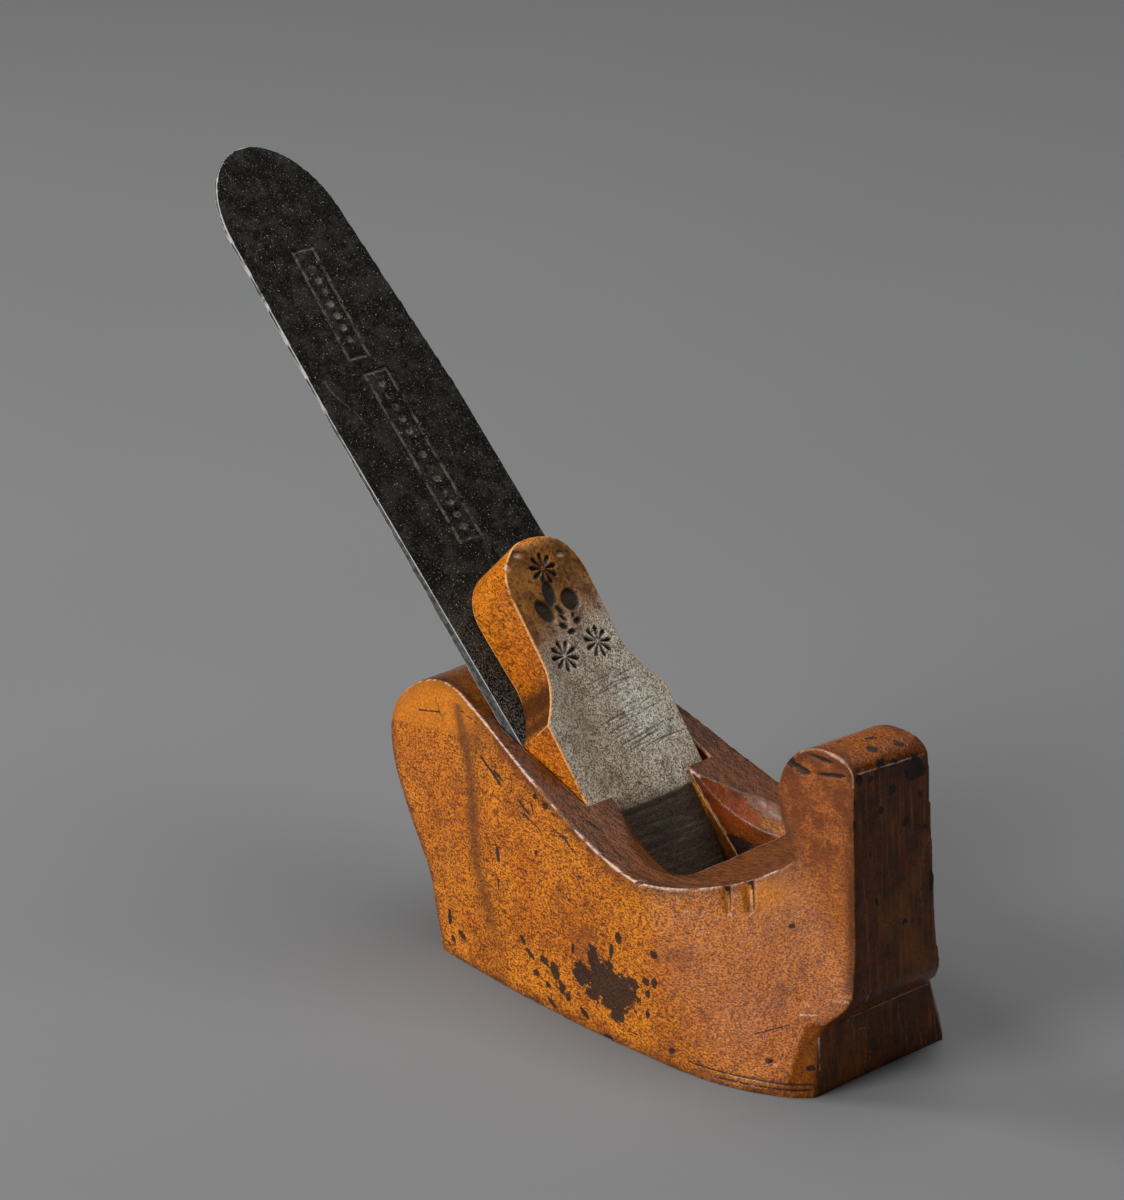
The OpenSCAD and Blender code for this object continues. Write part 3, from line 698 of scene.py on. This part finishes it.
# Curved marks that a scraper has left on the middle of the face.
scraped = np.zeros(len(points))
rng = random.Random(7)
for _ in range(34):
    start, middle, bend = 55 + rng.random() * 16, -1 + rng.random() * 11, 0.010 + rng.random() * 0.012
    reach, strength = 2.5 + rng.random() * 4.5, 0.5 + rng.random()
    off = across - middle
    line = along - start - 0.10 * off + bend * off ** 2
    scraped += np.clip(1 - np.abs(line) / 0.24, 0, 1) * np.clip(1 - np.abs(off) / reach, 0, 1) * strength
scraped = np.clip(scraped, 0, 1)

# Chips at the head, each x, y, z and size.
chips = ((-58, -8.6, 76.7, 1.3), (-58.4, -4.9, 78, 1.0), (-56.9, 4.9, 75.9, 0.9))
chipped = np.zeros(len(points))
for *spot, size in chips:
    away = np.linalg.norm((points - spot) * (1, 1, 1.6), axis=1)
    chipped = np.maximum(chipped, np.clip(1.3 - away / size, 0, 1))

crotch, tongue_half, leg_inner = 46.5, 12, 11  # where the fork begins, and half-widths of tongue and gap
on_tongue = np.abs(across) < tongue_half
saw_marks = 0.06 * unevenness(points * (1, 0.06, 1), 0.9, 23) * (along < crotch) * on_tongue
whittled = 0.05 * unevenness(points, 7, 21) + 0.02 * unevenness(points * (0.4, 1, 1), 1.2, 22)
head_swell, half_thick = 0.7, 6
domed = ramp(along, 88, 94) * (1 - face) * np.clip(1 - ((from_face - 6.8) / half_thick) ** 2, 0, 1)
swell = whittled + saw_marks + head_swell * domed - face * (0.6 * cut + 0.10 * scraped) - 0.45 * chipped
back_gap = 0.06  # the back is drawn in by this much, so that it slides over the iron freely
on_iron = ramp(-(normals[:, 0] + normals[:, 2]) / math.sqrt(2), 0.8, 0.925)
swell = swell * (1 - on_iron) - back_gap * on_iron
write_points(wedge, points + normals * swell[:, None])

brown_at_edge = fade(across, -8, 6) + 0.5 * fade(across, 1, 2.2) * (along > 60)
waist = 1.2 * fade(along, 71.2, 3) + 0.9 * fade(along, 67, 1.4)
mark(
    wedge,
    proud=np.clip(edge_wear(wedge, points, normals, 14), -0.5, 0.5),
    rim=np.clip(edge_wear(wedge, points, normals, 4), -0.5, 0.5),
    along=along - 0.25 * across,
    facing=facing,
    cut=np.clip(cut * 1.5, 0, 1) * face,
    chipped=chipped,
    scraped=scraped * face,
    left_brown=brown_at_edge,
    pale_patch=fade(along, 62, 9) * fade(across, 6, 6),
    legs=ramp(along, crotch + 0.5, crotch - 0.3) * (np.abs(across) > leg_inner),
    tongue=ramp(along, crotch + 0.1, crotch - 0.7) * on_tongue,
    stain=np.clip(waist, 0, 1) * (facing < 0.6),
)

WAIST_STAIN, LEG_SHADE, EDGE_HIGHLIGHT = (0.04, 0.013, 0.005), (0.085, 0.028, 0.009), (0.85, 0.45, 0.16)
DRY, DRY_PALE, BLEACHED = (0.60, 0.46, 0.32), (0.72, 0.62, 0.49), (0.95, 0.95, 0.80)
BAND, FIBRE = (0.22, 0.13, 0.07), (0.15, 0.105, 0.07)
GRIT, GRIT_PALE = (0.085, 0.065, 0.048), (0.97, 0.94, 0.82)
LEFT_BROWN, SCRAPED = (0.19, 0.115, 0.062), (0.11, 0.10, 0.08)
HEAD, HEAD_BAND = (0.42, 0.17, 0.034), (0.15, 0.058, 0.014)
HEAD_FIBRE, HEAD_GRIT = (0.035, 0.014, 0.006), (0.05, 0.02, 0.01)
TONGUE_SHADE, TONGUE_PALE = (0.050, 0.034, 0.022), (0.12, 0.088, 0.056)
CHIP, CUT = (0.62, 0.42, 0.30), (0.022, 0.019, 0.016)

weathered = Finish("weathered_wedge_wood")
up_face = (0, face_slope, 0)
fibre_at = weathered.stretch((0.07, 1, 1), up_face)
fibre = weathered.noise(1300, 3, 0.62, fibre_at)
band = weathered.noise(260, 4, 0.6, fibre_at)
grit = weathered.noise(3100, 2, 0.75, weathered.stretch((0.7, 1, 1), up_face))
drift = weathered.noise(120, 4, 0.6)

side_tone, _ = oiled_wood(weathered, up_face, 0.65)
side_tone = weathered.coat(side_tone, WAIST_STAIN, weathered.layer("stain"), 0.9)

grey = weathered.mix(weathered.span(drift, 0.36, 0.64), DRY, DRY_PALE)
grey = weathered.coat(grey, BLEACHED, weathered.layer("pale_patch"), 0.85)
grey = weathered.coat(grey, BAND, weathered.span(band, 0.5, 0.6), 0.6)
grey = weathered.coat(grey, FIBRE, weathered.span(fibre, 0.5, 0.6), 0.6)
grey = weathered.coat(grey, GRIT, weathered.span(grit, 0.51, 0.58), 0.8)
grey = weathered.coat(grey, GRIT_PALE, weathered.span(grit, 0.47, 0.4), 0.6)
patchy = weathered.span(drift, 0.35, 0.6, 0.1, 0.55)
grey = weathered.coat(grey, LEFT_BROWN, weathered.layer("left_brown"), patchy)
grey = weathered.coat(grey, SCRAPED, weathered.layer("scraped"), 0.75)

head = weathered.mix(weathered.span(band, 0.36, 0.66), HEAD, HEAD_BAND)
head = weathered.coat(head, HEAD_FIBRE, weathered.span(fibre, 0.5, 0.66), 0.7)
head = weathered.coat(head, HEAD_GRIT, weathered.span(grit, 0.56, 0.68), 0.5)
ragged = weathered.math("ADD", weathered.times(weathered.noise(110, 3), 9), weathered.times(band, 8))
to_head = weathered.math("ADD", weathered.layer("along"), ragged)
face_tone = weathered.mix(weathered.span(to_head, 85, 98), grey, head)

# Between the legs below the fork, the bevel gets a dark brown: painted shade for a face turned down, with
# paler saw marks over it.
sawn = weathered.noise(1500, 3, 0.65, weathered.stretch((1, 0.08, 1)))
tongue = weathered.mix(weathered.span(sawn, 0.5, 0.7), TONGUE_SHADE, TONGUE_PALE)
face_tone = weathered.coat(face_tone, tongue, weathered.layer("tongue"), 0.93)

tone = weathered.mix(weathered.span(weathered.layer("facing"), 0.86, 0.96), side_tone, face_tone)
tone, highlight_line = worn(weathered, tone, 0.7, 0.35, (0.012, 0.03))
# The legs below the fork get a dark brown: painted shade, for the shadow of the abutments over them.
tone = weathered.coat(tone, LEG_SHADE, weathered.layer("legs"), 0.85)
# Thin light orange line along the edges of the wedge: painted highlight.
tone = weathered.coat(tone, EDGE_HIGHLIGHT, highlight_line, 0.6)
tone = weathered.mix(weathered.span(weathered.layer("chipped"), 0.35, 0.8, 0, 0.8), tone, CHIP)
tone = weathered.coat(tone, CUT, weathered.layer("cut"), 0.92)
weathered.colour(tone)
varnish(weathered, fibre, weathered.span(weathered.layer("facing"), 0.86, 0.96, 0.0, 0.25))
weathered.dress(wedge)
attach(wedge, "wedge")
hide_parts("wedge")

# The studio: a plain pale floor of grey paper that runs on behind the plane, lit by three soft boxes
# and a little light from all round.
PAPER, PAPER_PALE = (0.165, 0.167, 0.17), (0.185, 0.187, 0.19)
half = 4.0
floor_mesh = bpy.data.meshes.new("floor")
corners = [(-half, -half, 0), (half, -half, 0), (half, half, 0), (-half, half, 0)]
floor_mesh.from_pydata(corners, [], [(0, 1, 2, 3)])
floor = bpy.data.objects.new("floor", floor_mesh)
bpy.context.scene.collection.objects.link(floor)
paper = Finish("grey_paper")
paper.colour(paper.mix(paper.noise(6, 2), PAPER, PAPER_PALE))
paper.shader.inputs["Roughness"].default_value = 0.9
paper.dress(floor)

world = bpy.data.worlds.new("studio")
bpy.context.scene.world = world
world.use_nodes = True
room = world.node_tree.nodes["Background"]
room.inputs["Color"].default_value = (0.95, 0.97, 1, 1)
room.inputs["Strength"].default_value = 0.09


def softbox(name, direction, distance, size, power, tint=(1, 1, 1)):
    """A square lamp that faces the plane from the given direction: metres and watts."""
    lamp = bpy.data.lights.new(name, "AREA")
    lamp.shape = "SQUARE"
    lamp.size = size
    lamp.energy = power
    lamp.color = tint
    box = bpy.data.objects.new(name, lamp)
    middle_of_plane = Vector((-0.03, 0, 0.04))
    way = Vector(direction).normalized()
    box.location = way * distance + middle_of_plane
    box.rotation_euler = way.to_track_quat("Z", "Y").to_euler()
    bpy.context.scene.collection.objects.link(box)


softbox("window_box", direction=(-0.2, -0.9, 0.4), distance=1.7, size=0.9, power=29, tint=(1, 0.98, 0.95))
softbox("rim_box", direction=(-0.67, -0.3, 0.68), distance=1.1, size=0.32, power=4)
softbox("top_box", direction=(-0.1, 0.25, 1.0), distance=1.1, size=0.7, power=7)

# The camera stands in front of the horn, to the right and a little above, with a long lens. Its
# focal length is in pixels of the photograph, which is 1124 wide.
eye = Vector((0.721404, -0.746590, 0.501907))
azimuth, height, tilt = math.radians(44.012), math.radians(21.923), math.radians(-0.499)
focal_pixels, photo_width, film_width = 6137.5, 1124, 36
level = math.cos(height)
back = Vector((level * math.cos(azimuth), -level * math.sin(azimuth), math.sin(height)))
right = (-back).cross(Vector((0, 0, 1))).normalized()
top = right.cross(-back)
right, top = math.cos(tilt) * right + math.sin(tilt) * top, math.cos(tilt) * top - math.sin(tilt) * right
lens = bpy.data.cameras.new("camera")
lens.sensor_fit = "HORIZONTAL"
lens.sensor_width = film_width
lens.lens = film_width * focal_pixels / photo_width
lens.clip_start = 0.01
lens.clip_end = 20
camera = bpy.data.objects.new("camera", lens)
camera.matrix_world = Matrix((
    (right.x, top.x, back.x, eye.x),
    (right.y, top.y, back.y, eye.y),
    (right.z, top.z, back.z, eye.z),
    (0, 0, 0, 1),
))
bpy.context.scene.collection.objects.link(camera)
bpy.context.scene.camera = camera
bpy.context.scene.view_settings.view_transform = "Standard"
